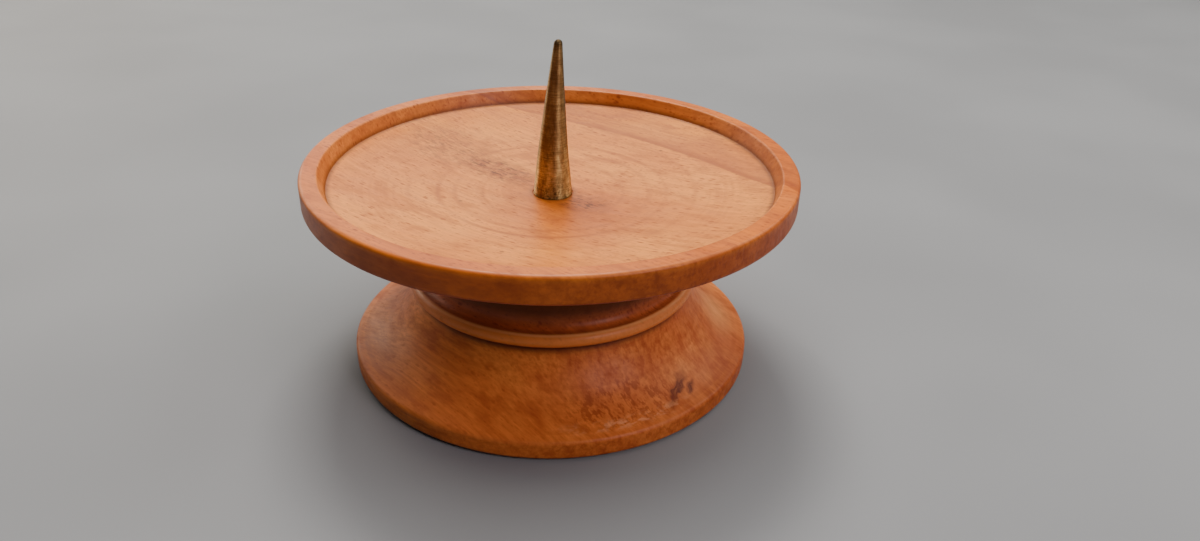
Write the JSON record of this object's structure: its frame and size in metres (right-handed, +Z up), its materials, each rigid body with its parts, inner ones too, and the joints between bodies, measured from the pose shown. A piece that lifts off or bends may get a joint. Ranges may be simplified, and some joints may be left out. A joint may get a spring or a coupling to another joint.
{
  "type": "pricket candlestick",
  "caption": "Low turned-wood candlestick: a wide shallow dish on a flared foot, with a tapered brass spike that holds a pillar candle.",
  "frame": {"origin": "centre of the resting surface, in the plane of the felt pad's underside", "axes": "+Z up along the turning axis and the spike; +Y away from a viewer at the front, +X to that viewer's right"},
  "size_m": [0.1, 0.1, 0.0676],
  "materials": {
    "dish_wood": "warm tan beech, fine short flecks, satin lacquer",
    "foot_wood": "warm orange-tan beech, fine short flecks, satin lacquer",
    "spike_brass": "aged brown-gold brass with fine turning lines",
    "fixing_steel": "zinc-plated, dull",
    "felt": "short-pile felt, matt"
  },
  "bodies": {
    "root": {"dish": "dish_wood", "foot": "foot_wood", "spike": "spike_brass", "screw": "fixing_steel", "washer": "fixing_steel", "felt_pad": "felt"}
  },
  "joints": []
}
